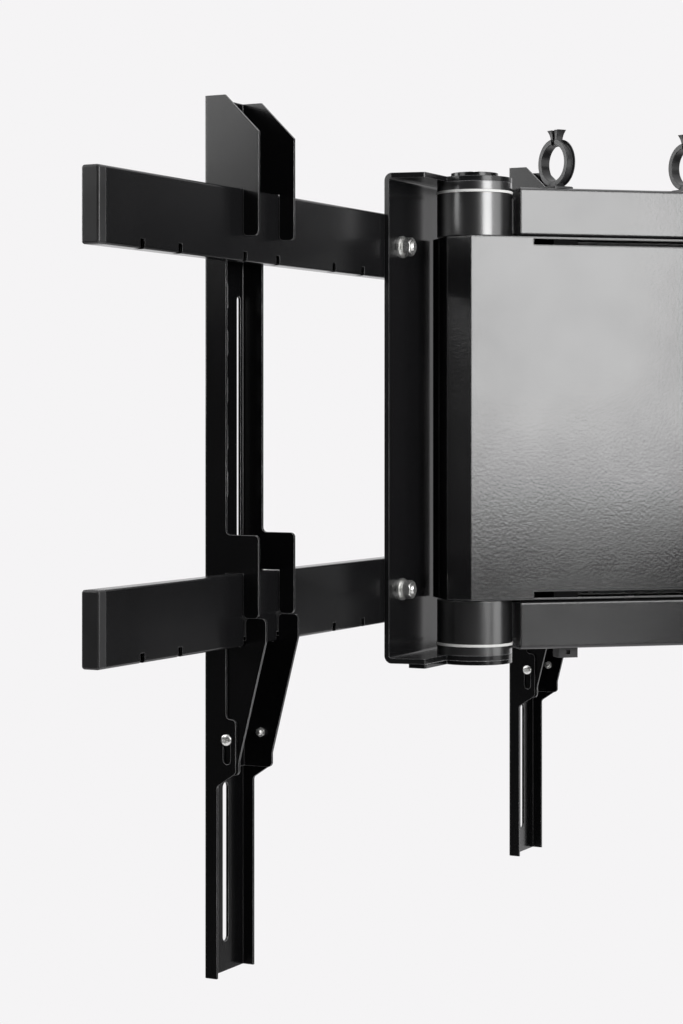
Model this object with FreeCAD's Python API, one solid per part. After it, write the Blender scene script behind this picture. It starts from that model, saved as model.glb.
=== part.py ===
import FreeCAD
import Part
import math
import os

# Motorized television wall mount: two rails and two hook-on legs on a swivel head,
# carried by a geared swing arm on a wall plate. Millimetres and degrees.
# X runs along the wall, Y into the wall, Z up. The origin is the centre of the wall plate's back.

# Overall layout
arm_length = 650.0
arm_angle = 48.2
wall_stand_off = 90.0

# Rails
rail_length = 1400.0
rail_height = 75.0
rail_depth = 20.0
rail_wall = 2.5
rail_corner = 3.0
least_round = 0.5
rail_spacing = 400.0
rail_stand_off = 65.0
notch_width = 8.0
notch_height = 10.0
notch_depth = 8.0
notch_pairs = 3
cap_lip = 12.0
cap_plug = 25.0
cap_round = 3.0

# Legs, each hung at a pair of notches counted from the middle
leg_notch_pair = 2
hang_clearance = 0.5
leg_width = 80.0
leg_sheet = 3.0
leg_bend = 4.0
leg_flange = 26.5
leg_tail_flange = 15.4
leg_tail = 348.5
ear_rise = 99.0
ear_chamfer = 40.0
ear_reach = 18.3
upper_finger = 49.0
lower_ear_rise = 40.5
lower_finger = 45.5
finger_round = 5.0
tab_drop = 76.5
tab_height = 56.0
tab_depth = 38.0
tab_slope = 15.0
screen_slot_width = 12.0
screen_slot_length = 169.0
screen_hole_width = 9.0
screen_hole_length = 30.0
screen_hole_pitch = 50.0
screen_hole_count = 5
screen_height = 600.0
wire_slot_width = 8.0
wire_slot_length = 260.0
screen_slot_margin = 31.0

# Lock brackets
lock_sheet = 3.0
lock_clearance = 0.3
lock_reach = 25.0
lock_finger = 29.5
lock_shoulder = 24.0
lock_height = 135.0
lock_nose = 7.0
lock_tooth = 6.0
lock_tooth_depth = 4.8
lock_finger_clearance = 1.5
lock_slot_width = 9.0
lock_slot_length = 30.0
lock_slot_drop = 17.0
lock_screw_inset = 27.5
lock_screw_radius = 3.0
lock_head_radius = 6.0
lock_head_height = 3.6
lock_screw_length = 14.0

# Pivot brackets, the same at the head and at the wall
bracket_sheet = 6.0
bracket_bend = 9.0
bracket_width = 220.0
bracket_taper = 9.0
bracket_shoulder = 17.0
bracket_corner = 4.0
boss_height = 10.0
thrust_height = 3.0
thrust_overhang = 1.0
axial_play = 0.1
keeper_radius = 28.0
keeper_height = 6.0
stop_height = 5.0
stop_bar = 22.0
stop_corner = 3.0
pivot_screw_radius = 5.0
pivot_screw_length = 22.0
pivot_screw_gap = 2.2
pivot_head_radius = 9.0
pivot_head_height = 4.0

# Fasteners through the brackets
bolt_radius = 6.0
bolt_offset = 78.0
bolt_clearance = 0.5
bolt_end = 18.0
nut_flats = 19.0
nut_height = 10.0
bolt_washer_radius = 13.0
bolt_washer_height = 3.0
lock_washer_radius = 10.5
lock_washer_height = 2.5
bolt_head_height = 7.5

# Screw heads, as shares of their own radius or height
crown_share = 0.5
socket_share = 0.9
socket_depth_share = 0.6

# Wall plate
wall_plate_width = 340.0
wall_plate_height = 640.0
wall_plate_sheet = 6.0
wall_plate_round = 15.0
wall_hole_radius = 5.5
wall_hole_x = 280.0
wall_hole_z = 580.0
wall_stud_depth = 4.8

# Arm tubes and knuckles
tube_size = 57.5
tube_wall = 3.0
tube_corner = 4.0
tube_start = 48.0
tube_gap = 2.0
barrel_radius = 44.45
barrel_height = 50.5
neck_width = 20.0
neck_height = 42.0
spigot_length = 60.0
spigot_clearance = 0.2
shaft_radius = 20.0
bush_wall = 5.0
running_clearance = 0.05
press_clearance = 0.02

# Drive housing
housing_half_height = 213.5
housing_half_depth = 45.0
housing_overhang = 41.0
housing_front_chamfer = 22.5
housing_rear_chamfer = 10.0
housing_sheet = 1.5
housing_lip = 12.0
housing_side_lip = 22.5
housing_seam = -10.0
seam_gap = 0.5
panel_slot_start = 59.0
panel_slot_height = 7.0
panel_slot_edge = 2.4
seal_width = 2.0
seal_inset = 2.0

# Uprights inside the housing
upright_place = 84.0
upright_sheet = 3.0
upright_flange = 30.0
upright_margin = 0.5
upright_hole = 22.0
upright_hole_drop = 52.0
cover_fixing_count = 3
cover_fixing_pitch = 160.0
cover_fixing_inset = 18.0
cover_screw_radius = 2.5
cover_head_radius = 4.75
cover_head_height = 2.8
cover_screw_length = 12.0
cover_nut_flats = 8.0
cover_nut_height = 4.0
hole_clearance = 0.1

# Drive
gear_module = 2.0
gear_teeth = 36
pinion_teeth = 12
pressure_angle = 20.0
dedendum_share = 1.25
gear_root_step = 0.2
backlash = 0.3
gear_width = 20.0
gear_bottom = -30.0
hub_radius = 28.0
hub_height = 8.0
pinion_overlap = 1.0
pinion_shaft_radius = 6.0
motor_plate_gap = 14.0
motor_plate_sheet = 4.0
motor_plate_half = 32.0
motor_plate_bend = 8.0
motor_flange_height = 60.0
motor_radius = 24.0
motor_gearbox = 70.0
motor_can_radius = 21.0
motor_can = 75.0
motor_pilot_radius = 12.0
motor_screw_radius = 3.0
motor_screw_drop = 20.0
motor_screw_pitch = 20.0
motor_screw_edge = 10.0
motor_head_radius = 5.0
motor_head_height = 3.3
control_depth = 50.0
control_half_width = 28.0
control_height = 140.0
control_drop = 105.0
control_round = 4.0

# Cable fittings
clip_inner = 22.0
clip_wall = 6.5
clip_width = 12.4
clip_pad = 30.0
clip_pad_height = 4.0
clip_foot = 21.0
clip_gap = 3.0
clip_tab_height = 14.0
clip_tab_root = 4.5
clip_tab_top = 10.0
clip_tongue_sheet = 2.5
clip_tongue_gap = 0.8
clip_tongue_half_angle = 32.0
clip_tongue_root = 3.3
clip_tongue_root_place = 6.2
clip_tongue_root_depth = 5.0
clip_turn = 72.0
clip_first = 103.0
clip_last = 211.0
clip_count = 3
saddle_place = 114.0
saddle_length = 24.0
saddle_width = 20.0
saddle_height = 13.0
saddle_slot = 5.0

# Places worked out from the dimensions above
rail_near = -rail_stand_off
rail_far = rail_near - rail_depth
rail_centre = 0.5 * rail_spacing
rail_half = 0.5 * rail_height
notch_pitch = rail_length / (2 * notch_pairs + 1)
leg_place = leg_notch_pair * notch_pitch
ear_front = rail_near + ear_reach
flange_edge = rail_far - hang_clearance
web_far = flange_edge - leg_flange
web_near = web_far + leg_sheet
lower_bottom = -rail_centre - rail_half
lock_screw_z = lower_bottom - tab_drop - lock_slot_drop - 0.5 * lock_slot_width
lock_screw_y = web_far + lock_screw_inset
lock_half = 0.5 * leg_width - leg_sheet - lock_clearance
notch_offset = lock_half - 0.5 * lock_sheet
tube_bottom = housing_half_height + tube_gap
tube_centre = tube_bottom + 0.5 * tube_size
barrel_bottom = housing_half_height + 0.5 * tube_gap
barrel_top = barrel_bottom + barrel_height
thrust_top = barrel_top + thrust_height
flange_under = thrust_top + axial_play + boss_height
flange_top = flange_under + bracket_sheet
gear_radius = 0.5 * gear_module * gear_teeth
pinion_radius = 0.5 * gear_module * pinion_teeth
gear_distance = gear_radius + pinion_radius
gear_top = gear_bottom + gear_width
motor_plate_z = gear_top + motor_plate_gap
clip_pitch = (arm_length - clip_first - clip_last) / (clip_count - 1)
head_x = arm_length * math.cos(math.radians(arm_angle))
head_y = -wall_stand_off - arm_length * math.sin(math.radians(arm_angle))


def vector(x, y, z=0.0):
    return FreeCAD.Vector(x, y, z)


# A closed wire through corners (x, y) or (x, y, radius); rounds are limited by half of each side
def rounded_wire(corners):
    points = [vector(corner[0], corner[1]) for corner in corners]
    radii = [corner[2] if len(corner) > 2 else 0.0 for corner in corners]
    starts = []
    middles = []
    ends = []
    for index, point in enumerate(points):
        before = points[index - 1] - point
        after = points[(index + 1) % len(points)] - point
        half = 0.5 * before.getAngle(after)
        reach = min(radii[index] / math.tan(half), 0.5 * before.Length, 0.5 * after.Length)
        radius = reach * math.tan(half)
        before.normalize()
        after.normalize()
        starts.append(point + before * reach)
        ends.append(point + after * reach)
        bisector = (before + after).normalize() if reach > 0 else vector(0, 0)
        middles.append(point + bisector * (radius / math.sin(half) - radius))
    edges = []
    for index in range(len(points)):
        if (ends[index] - starts[index]).Length > 1e-6:
            edges.append(Part.Arc(starts[index], middles[index], ends[index]).toShape())
        following = starts[(index + 1) % len(points)]
        if (following - ends[index]).Length > 1e-6:
            edges.append(Part.LineSegment(ends[index], following).toShape())
    return Part.Wire(edges)


# A flat outline drawn in (y, z), (x, z) or (x, y) and stretched along the named axis
def prism(corners, axis, start, end):
    solid = Part.Face(rounded_wire(corners)).extrude(vector(0, 0, end - start))
    if axis == "z":
        solid.translate(vector(0, 0, start))
    elif axis == "x":
        solid.rotate(vector(0, 0), vector(1, 1, 1), 120)
        solid.translate(vector(start, 0, 0))
    else:
        solid.rotate(vector(0, 0), vector(1, 0, 0), 90)
        solid.translate(vector(0, end, 0))
    return solid


def block(x0, x1, y0, y1, z0, z1):
    return Part.makeBox(x1 - x0, y1 - y0, z1 - z0, vector(x0, y0, z0))


def rectangle(x0, x1, y0, y1, radius=0.0):
    return [(x0, y0, radius), (x1, y0, radius), (x1, y1, radius), (x0, y1, radius)]


def rod(radius, start, end, x=0.0, y=0.0):
    return Part.makeCylinder(radius, end - start, vector(x, y, start))


def ring(outer, inner, start, end):
    return rod(outer, start, end).cut(rod(inner, start, end))


def rod_x(radius, x0, x1, y, z):
    return Part.makeCylinder(radius, x1 - x0, vector(x0, y, z), vector(1, 0, 0))


def rod_y(radius, y0, y1, x, z):
    return Part.makeCylinder(radius, y1 - y0, vector(x, y0, z), vector(0, 1, 0))


def hexagon(flats):
    corner = flats / math.sqrt(3.0)
    angles = [math.radians(60 * step) for step in range(6)]
    return [(corner * math.cos(angle), corner * math.sin(angle)) for angle in angles]


def moved(shape, x, y, z=0.0):
    copy = shape.copy()
    copy.translate(vector(x, y, z))
    return copy


def turned(shape, angle):
    copy = shape.copy()
    copy.rotate(vector(0, 0), vector(0, 0, 1), angle)
    return copy


def flipped(shape):
    return shape.mirror(vector(0, 0), vector(0, 0, 1))


def union(shapes):
    result = shapes[0]
    if len(shapes) > 1:
        result = result.fuse(shapes[1:])
    return result.removeSplitter()


# Frames: the head turns about its own pivot, the arm lies along X from the wall pivot
def on_head(shape):
    return moved(shape, head_x, head_y)


def on_arm(shape):
    return moved(turned(shape, -arm_angle), 0.0, -wall_stand_off)


def on_wall(shape):
    return moved(turned(shape, 180), 0.0, -wall_stand_off)


def at_arm_head(shape):
    return moved(shape, arm_length, 0.0)


def arm_mirrored(shape):
    return shape.mirror(vector(0.5 * arm_length, 0), vector(1, 0, 0))


def export(name, shapes):
    solid = shapes[0] if len(shapes) == 1 else Part.makeCompound(shapes)
    solid.exportStep("parts/" + name + ".step")


# Rails: square-edged tubes with paired notches in the lower near edge
def rail():
    half = 0.5 * rail_length
    inner = max(rail_corner - rail_wall, least_round)
    outside = prism(rectangle(rail_far, rail_near, -rail_half, rail_half, rail_corner), "x", -half, half)
    hollow = rectangle(rail_far + rail_wall, rail_near - rail_wall,
                       -rail_half + rail_wall, rail_half - rail_wall, inner)
    tube = outside.cut(prism(hollow, "x", -half, half))
    cuts = []
    for pair in range(1, notch_pairs + 1):
        for side in (-1, 1):
            for edge in (-notch_offset, notch_offset):
                place = side * pair * notch_pitch + edge
                cuts.append(block(place - 0.5 * notch_width, place + 0.5 * notch_width,
                                  rail_near - notch_depth, rail_near,
                                  -rail_half, -rail_half + notch_height))
    for side in (-1, 1):
        cuts.append(rod_y(bolt_radius + bolt_clearance, rail_far, rail_near, side * bolt_offset, 0.0))
    return tube.cut(cuts)


# A moulded plug with a lip that covers the tube's end
def end_cap():
    lip = prism(rectangle(rail_far, rail_near, -rail_half, rail_half, rail_corner), "x",
                0.5 * rail_length, 0.5 * rail_length + cap_lip)
    rim = [edge for edge in lip.Edges if edge.BoundBox.XMin > 0.5 * rail_length + 0.5 * cap_lip]
    lip = lip.makeFillet(min(cap_round, rail_corner - least_round), rim)
    inset = rail_wall + press_clearance
    plug = prism(rectangle(rail_far + inset, rail_near - inset, -rail_half + inset, rail_half - inset,
                           max(rail_corner - rail_wall, least_round)), "x",
                 0.5 * rail_length - cap_plug, 0.5 * rail_length)
    return lip.fuse(plug)


def slot_y(x, z0, z1, width, y0, y1):
    return prism(rectangle(x - 0.5 * width, x + 0.5 * width, z0, z1, 0.5 * width), "y", y0, y1)


# Legs: a folded channel whose flanges carry two pairs of hooks and the lock tabs
def leg_outline():
    upper_top = rail_centre + rail_half
    lower_top = -rail_centre + rail_half
    finger = rail_near + hang_clearance
    tab_top = lower_bottom - tab_drop
    return [
        (web_far, upper_top + ear_rise),
        (ear_front - ear_chamfer, upper_top + ear_rise),
        (ear_front, upper_top + ear_rise - ear_chamfer),
        (ear_front, upper_top - upper_finger, finger_round),
        (finger, upper_top - upper_finger, finger_round),
        (finger, upper_top),
        (flange_edge, upper_top),
        (flange_edge, lower_top + lower_ear_rise, finger_round),
        (ear_front, lower_top + lower_ear_rise, finger_round),
        (ear_front, lower_top - lower_finger, finger_round),
        (finger, lower_top - lower_finger, finger_round),
        (finger, lower_top + hang_clearance),
        (flange_edge, lower_top + hang_clearance),
        (flange_edge, tab_top, finger_round),
        (web_far + tab_depth, tab_top, finger_round),
        (web_far + tab_depth, tab_top - tab_height, finger_round),
        (web_far + leg_tail_flange, tab_top - tab_height - tab_slope, finger_round),
        (web_far + leg_tail_flange, lower_bottom - leg_tail),
        (web_far, lower_bottom - leg_tail),
    ]


# A channel section with rounded folds, cut to a side outline
def folded_channel(half, back, sheet, bend, front, outline, bottom, top):
    outside = rectangle(-half, half, back, front)
    outside[0] = (-half, back, bend)
    outside[1] = (half, back, bend)
    inside = rectangle(-half + sheet, half - sheet, back + sheet, front + sheet)
    inside[0] = (-half + sheet, back + sheet, max(bend - sheet, least_round))
    inside[1] = (half - sheet, back + sheet, max(bend - sheet, least_round))
    section = prism(outside, "z", bottom, top).cut(prism(inside, "z", bottom, top))
    return section.common(prism(outline, "x", -half, half))


def screen_slot_centres():
    low = lower_bottom - leg_tail + 0.5 * screen_slot_length + screen_slot_margin
    high = low + screen_height
    return low, high


def leg():
    channel = folded_channel(0.5 * leg_width, web_far, leg_sheet, leg_bend, ear_front, leg_outline(),
                             lower_bottom - leg_tail, rail_centre + rail_half + ear_rise)
    low, high = screen_slot_centres()
    cuts = [slot_y(0.0, low - 0.5 * screen_slot_length, low + 0.5 * screen_slot_length,
                   screen_slot_width, web_far, web_near)]
    for step in range(screen_hole_count):
        centre = high - step * screen_hole_pitch
        cuts.append(slot_y(0.0, centre - 0.5 * screen_hole_length, centre + 0.5 * screen_hole_length,
                           screen_hole_width, web_far, web_near))
    wire_place = 0.5 * leg_width - leg_bend - wire_slot_width
    for side in (-1, 1):
        cuts.append(slot_y(side * wire_place, -0.5 * wire_slot_length, 0.5 * wire_slot_length,
                           wire_slot_width, web_far, web_near))
    slot_top = lock_screw_z + 0.5 * lock_slot_width
    slot = rectangle(lock_screw_y - 0.5 * lock_slot_width, lock_screw_y + 0.5 * lock_slot_width,
                     slot_top - lock_slot_length, slot_top, 0.5 * lock_slot_width)
    cuts.append(prism(slot, "x", -0.5 * leg_width, 0.5 * leg_width))
    return channel.cut(cuts)


# Lock bracket: nests in the leg, its fingers close the lower hooks and its teeth enter the notches
def lock_bracket():
    back = web_near + lock_clearance
    under = lower_bottom - hang_clearance
    front = rail_near + lock_reach
    finger = rail_near + lock_finger_clearance
    tooth = rail_near - lock_tooth_depth
    bottom = lower_bottom - lock_height
    outline = [
        (back, under),
        (tooth, under),
        (tooth, lower_bottom + lock_tooth),
        (finger, lower_bottom + lock_tooth),
        (finger, lower_bottom + lock_finger, finger_round),
        (front, lower_bottom + lock_finger, finger_round),
        (front, lower_bottom + lock_finger - lock_shoulder, finger_round),
        (rail_near - lock_nose, bottom + tab_slope, finger_round),
        (rail_near - lock_nose, bottom, finger_round),
        (back, bottom),
    ]
    bracket = folded_channel(lock_half, back, lock_sheet, leg_bend, front, outline,
                             bottom, lower_bottom + lock_finger)
    hole = rod_x(lock_screw_radius + press_clearance, -lock_half, lock_half, lock_screw_y, lock_screw_z)
    return bracket.cut(hole)


# Cap screw: a shank behind the seat and a coned head with a hexagon socket in front of it
def cap_screw(seat, direction, radius, length, head_radius, head_height):
    rim = (1.0 - crown_share) * head_height
    top = seat + direction * head_height
    shank = Part.makeCylinder(radius, length, seat - direction * length, direction)
    head = Part.makeCylinder(head_radius, rim, seat, direction)
    crown = Part.makeCone(head_radius, head_radius - crown_share * head_height, head_height - rim,
                          seat + direction * rim, direction)
    socket = Part.Face(rounded_wire(hexagon(socket_share * head_radius)))
    socket = socket.extrude(vector(0, 0, socket_depth_share * head_height))
    socket.Placement = FreeCAD.Placement(top - direction * (socket_depth_share * head_height),
                                         FreeCAD.Rotation(vector(0, 0, 1), direction))
    return union([shank, head, crown]).cut(socket)


# The lock screws point inwards, with their heads outside the leg's tabs
def lock_screw(side):
    seat = vector(side * (0.5 * leg_width + hole_clearance), lock_screw_y, lock_screw_z)
    return cap_screw(seat, vector(side, 0), lock_screw_radius, lock_screw_length,
                     lock_head_radius, lock_head_height)


# Pivot bracket: a folded plate with two shouldered flanges and round noses about the pivot
def pivot_bracket(stand_off):
    back = -stand_off
    half = 0.5 * bracket_width
    nose = barrel_radius
    top = flange_top
    under = flange_under
    fold = bracket_bend - bracket_sheet
    shoulder = [
        (-half, back),
        (half, back),
        (half, back + bracket_bend),
        (half - bracket_taper, -bracket_shoulder, bracket_corner),
        (-half + bracket_taper, -bracket_shoulder, bracket_corner),
        (-half, back + bracket_bend),
    ]
    outside = [(back, -top, bracket_bend), (nose, -top), (nose, top), (back, top, bracket_bend)]
    inside = [(back + bracket_sheet, -under, fold), (2 * nose, -under), (2 * nose, under),
              (back + bracket_sheet, under, fold)]
    channel = prism(outside, "x", -half, half).cut(prism(inside, "x", -half, half))
    plan = prism(shoulder, "z", -top, top).fuse(rod(nose, -top, top))
    shaft_hole = rod(shaft_radius + press_clearance, -top, top)
    return channel.common(plan).cut(shaft_hole)


def pivot_bosses():
    boss = ring(barrel_radius, shaft_radius + press_clearance, flange_under - boss_height, flange_under)
    return [boss, flipped(boss)]


def pivot_shaft():
    shaft = rod(shaft_radius, -flange_top, flange_top)
    thread = rod(pivot_screw_radius, flange_top - pivot_screw_length, flange_top)
    return shaft.cut([thread, flipped(thread)])


def keeper():
    return ring(keeper_radius, pivot_screw_radius + hole_clearance, flange_top, flange_top + keeper_height)


# Stop plate: a bar under the lower flange with the same nose
def stop_plate():
    half = 0.5 * bracket_width - bracket_taper
    bar = prism(rectangle(-half, half, -bracket_shoulder - stop_bar, -bracket_shoulder, stop_corner), "z",
                -flange_top - stop_height, -flange_top)
    nose = rod(barrel_radius, -flange_top - stop_height, -flange_top)
    hole = rod(pivot_screw_radius + hole_clearance, -flange_top - stop_height, -flange_top)
    return union([bar, nose]).cut(hole)


def pivot_screws():
    screws = []
    for height, sign in ((keeper_height, 1), (stop_height, -1)):
        seat = vector(0, 0, sign * (flange_top + height))
        length = height + pivot_screw_length - pivot_screw_gap
        screws.append(cap_screw(seat, vector(0, 0, sign), pivot_screw_radius - press_clearance, length,
                                pivot_head_radius, pivot_head_height))
    return screws


# Bolts through a pivot bracket's plate at four places: x offset and height
def bolt_places(height):
    return [(side * bolt_offset, level * height) for side in (-1, 1) for level in (-1, 1)]


def nut(y0, x, z, flats, height, radius):
    body = prism(hexagon(flats), "y", y0, y0 + height)
    bore = rod_y(radius + press_clearance, y0, y0 + height, 0.0, 0.0)
    return moved(body.cut(bore), x, 0.0, z)


def washer(y0, x, z, outer, height):
    hole = rod_y(bolt_radius + bolt_clearance, y0, y0 + height, x, z)
    return rod_y(outer, y0, y0 + height, x, z).cut(hole)


def flat_washer(y0, x, z):
    return washer(y0, x, z, bolt_washer_radius, bolt_washer_height)


def lock_washer(y0, x, z):
    return washer(y0, x, z, lock_washer_radius, lock_washer_height)


def bolt(head_y, tip_y, x, z):
    shank = rod_y(bolt_radius, head_y, tip_y, x, z)
    head = moved(prism(hexagon(nut_flats), "y", head_y - bolt_head_height, head_y), x, 0.0, z)
    return shank.fuse(head)


# Involute gear outline, with the tooth thinned by half of the backlash
def gear_outline(teeth, addendum_steps=4):
    pitch = 0.5 * gear_module * teeth
    base = pitch * math.cos(math.radians(pressure_angle))
    root = pitch - dedendum_share * gear_module
    tip = pitch + gear_module
    involute_at_pitch = math.tan(math.radians(pressure_angle)) - math.radians(pressure_angle)
    half_at_pitch = 0.5 * math.pi / teeth - 0.25 * backlash / pitch
    start = max(base, root + gear_root_step)
    radii = [start + (tip - start) * step / addendum_steps for step in range(addendum_steps + 1)]
    flank = []
    for radius in radii:
        angle = math.acos(base / radius)
        flank.append((radius, half_at_pitch + involute_at_pitch - math.tan(angle) + angle))
    flank.insert(0, (root, flank[0][1]))
    points = []
    for tooth in range(teeth):
        centre = 2.0 * math.pi * tooth / teeth
        rising = [(radius, centre - half) for radius, half in flank]
        falling = [(radius, centre + half) for radius, half in reversed(flank)]
        points += [vector(r * math.cos(a), r * math.sin(a)) for r, a in rising + falling]
    return points + [points[0]]


def toothed(teeth, start, end):
    disc = Part.Face(Part.makePolygon(gear_outline(teeth))).extrude(vector(0, 0, end - start))
    disc.translate(vector(0, 0, start))
    return disc


# Shaft gear: in the arm's frame its first tooth points at the pinion
def drive_gear():
    hub = rod(hub_radius, gear_top, gear_top + hub_height)
    disc = union([toothed(gear_teeth, gear_bottom, gear_top), hub])
    return disc.cut(rod(shaft_radius + press_clearance, gear_bottom, gear_top + hub_height))


def pinion():
    teeth = turned(toothed(pinion_teeth, gear_bottom - pinion_overlap, gear_top + pinion_overlap),
                   180.0 / pinion_teeth)
    stem = rod(pinion_shaft_radius, gear_top + pinion_overlap, motor_plate_z + 0.5 * motor_gearbox)
    return moved(teeth.fuse(stem), gear_distance, 0.0)


# Gearmotor: pilot, gearbox and can in one closed body, with a bore for the pinion's stem
def gearmotor():
    plate_top = motor_plate_z + motor_plate_sheet
    body = union([
        rod(motor_pilot_radius, motor_plate_z, plate_top),
        rod(motor_radius, plate_top, plate_top + motor_gearbox),
        rod(motor_can_radius, plate_top + motor_gearbox, plate_top + motor_gearbox + motor_can),
    ])
    bore = rod(pinion_shaft_radius + running_clearance, motor_plate_z,
               motor_plate_z + 0.5 * motor_gearbox + pinion_overlap)
    return moved(body.cut(bore), gear_distance, 0.0)


# Folded angle that carries the gearmotor from the upright
def motor_bracket():
    back = upright_place
    front = shaft_radius + motor_plate_sheet
    plate_top = motor_plate_z + motor_plate_sheet
    outline = [
        (front, motor_plate_z),
        (back, motor_plate_z, motor_plate_bend),
        (back, plate_top + motor_flange_height),
        (back - motor_plate_sheet, plate_top + motor_flange_height),
        (back - motor_plate_sheet, plate_top, motor_plate_bend - motor_plate_sheet),
        (front, plate_top),
    ]
    angle = prism(outline, "y", -motor_plate_half, motor_plate_half)
    pilot = rod(motor_pilot_radius + press_clearance, motor_plate_z, plate_top, gear_distance)
    holes = [rod_x(motor_screw_radius + hole_clearance, back - motor_plate_sheet, back, y, z)
             for y, z in motor_screw_places()]
    return angle.cut([pilot] + holes)


def motor_screw_places():
    top = motor_plate_z + motor_plate_sheet + motor_flange_height
    return [(side * (motor_plate_half - motor_screw_edge), top - drop)
            for side in (-1, 1) for drop in (motor_screw_drop, motor_screw_drop + motor_screw_pitch)]


def motor_screws():
    screws = []
    face = upright_place + upright_sheet
    for y, z in motor_screw_places():
        shank = rod_x(motor_screw_radius, upright_place - motor_plate_sheet, face, y, z)
        head = rod_x(motor_head_radius, face, face + motor_head_height, y, z)
        screws.append(shank.fuse(head))
    return screws


# Arm parts are drawn with the pivot at the origin and the tubes running along positive X
def tube():
    length = arm_length - tube_start
    half = 0.5 * tube_size
    inner = half - tube_wall
    outside = rectangle(-half, half, tube_centre - half, tube_centre + half, tube_corner)
    inside = rectangle(-inner, inner, tube_centre - inner, tube_centre + inner,
                       max(tube_corner - tube_wall, least_round))
    return prism(outside, "x", tube_start, length).cut(prism(inside, "x", tube_start, length))


def knuckle():
    barrel = rod(barrel_radius, barrel_bottom, barrel_top)
    half_neck = 0.5 * neck_width
    neck_middle = 0.5 * (barrel_bottom + barrel_top)
    neck = block(0.0, tube_start, -half_neck, half_neck,
                 neck_middle - 0.5 * neck_height, neck_middle + 0.5 * neck_height)
    half = 0.5 * tube_size - tube_wall - spigot_clearance
    spigot = prism(rectangle(-half, half, tube_centre - half, tube_centre + half, tube_corner), "x",
                   tube_start, tube_start + spigot_length)
    bore = rod(shaft_radius + bush_wall + press_clearance, barrel_bottom, barrel_top)
    return union([barrel, neck, spigot]).cut(bore)


def bush():
    return ring(shaft_radius + bush_wall, shaft_radius + running_clearance, barrel_bottom, barrel_top)


def thrust_washer():
    return ring(barrel_radius + thrust_overhang, shaft_radius + bush_wall, barrel_top, thrust_top)


# Housing plan, set in by a distance; its corners are cut at 45 degrees
def housing_plan(inset):
    left = -housing_overhang + inset
    right = arm_length + housing_overhang - inset
    half = housing_half_depth - inset
    shrink = inset * (2.0 - math.sqrt(2.0))
    front = max(housing_front_chamfer - shrink, least_round)
    rear = max(housing_rear_chamfer - shrink, least_round)
    return [
        (left + rear, -half),
        (right - rear, -half),
        (right, -half + rear),
        (right, half - front),
        (right - front, half),
        (left + front, half),
        (left, half - front),
        (left, -half + rear),
    ]


# Two folded trays that meet along a seam, with lips along their top and bottom edges
def covers():
    top = housing_half_height
    inner = top - housing_sheet
    shell = prism(housing_plan(0.0), "z", -top, top)
    shell = shell.cut(prism(housing_plan(housing_sheet), "z", -inner, inner))
    end = housing_overhang - housing_lip
    side = housing_half_depth - housing_side_lip
    shell = shell.cut(block(-end, arm_length + end, -side, side, -top, top))
    far = arm_length + 2.0 * housing_overhang
    near = -2.0 * housing_overhang
    depth = 2.0 * housing_half_depth
    front = shell.common(block(near, far, housing_seam + 0.5 * seam_gap, depth, -top, top))
    rear = shell.common(block(near, far, -depth, housing_seam - 0.5 * seam_gap, -top, top))
    slot_top = top - panel_slot_edge
    slots = []
    for low in (slot_top - panel_slot_height, -slot_top):
        slots.append(block(panel_slot_start, arm_length - panel_slot_start,
                           housing_half_depth - housing_sheet, housing_half_depth,
                           low, low + panel_slot_height))
    holes = []
    for x in fixing_columns():
        for z in fixing_heights():
            holes.append(rod_y(cover_screw_radius + hole_clearance, -housing_half_depth,
                               -housing_half_depth + housing_sheet, x, z))
    return front.cut(slots), rear.cut(holes)


# Soft strips that close the gap between the covers and the tubes
def cover_seals():
    start = tube_start + seal_inset
    edge = housing_half_depth - housing_side_lip
    strips = []
    for side in (-1, 1):
        middle = side * (edge + 0.5 * seal_width)
        strip = block(start, arm_length - start, middle - 0.5 * seal_width, middle + 0.5 * seal_width,
                      housing_half_height, tube_bottom)
        strips += [strip, flipped(strip)]
    return strips


def fixing_columns():
    place = upright_place + cover_fixing_inset
    return [place, arm_length - place]


def fixing_heights():
    middle = 0.5 * (cover_fixing_count - 1)
    return [(step - middle) * cover_fixing_pitch for step in range(cover_fixing_count)]


# Upright: a channel between the tubes that both covers are fixed to
def upright():
    half = housing_half_depth - housing_sheet
    back = upright_place
    height = housing_half_height - housing_sheet - upright_margin
    section = [
        (back, -half),
        (back + upright_flange, -half),
        (back + upright_flange, -half + upright_sheet),
        (back + upright_sheet, -half + upright_sheet),
        (back + upright_sheet, half - upright_sheet),
        (back + upright_flange, half - upright_sheet),
        (back + upright_flange, half),
        (back, half),
    ]
    tongue_half = housing_half_depth - housing_side_lip - upright_margin
    tongue = block(back, back + upright_sheet, -tongue_half, tongue_half, -tube_bottom, tube_bottom)
    body = union([prism(section, "z", -height, height), tongue])
    cuts = []
    for level in (-1, 1):
        place = level * (height - upright_hole_drop)
        cuts.append(rod_x(upright_hole, back, back + upright_sheet, 0.0, place))
    for z in fixing_heights():
        cuts.append(rod_y(cover_screw_radius + hole_clearance, -half, half, fixing_columns()[0], z))
    for y, z in motor_screw_places():
        cuts.append(rod_x(motor_screw_radius + hole_clearance, back, back + upright_sheet, y, z))
    return body.cut(cuts)


# Rear cover screws, blind studs on the front panel, and their nuts
def cover_fixings():
    outside = housing_half_depth
    inside = housing_half_depth - housing_sheet
    screws = []
    studs = []
    nuts = []
    for x in fixing_columns():
        for z in fixing_heights():
            screws.append(cap_screw(vector(x, -outside, z), vector(0, -1), cover_screw_radius,
                                    cover_screw_length, cover_head_radius, cover_head_height))
            studs.append(rod_y(cover_screw_radius, inside - cover_screw_length, inside, x, z))
            seat = inside - upright_sheet - cover_nut_height
            nuts.append(nut(seat, x, z, cover_nut_flats, cover_nut_height, cover_screw_radius))
    return screws, studs, nuts


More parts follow.
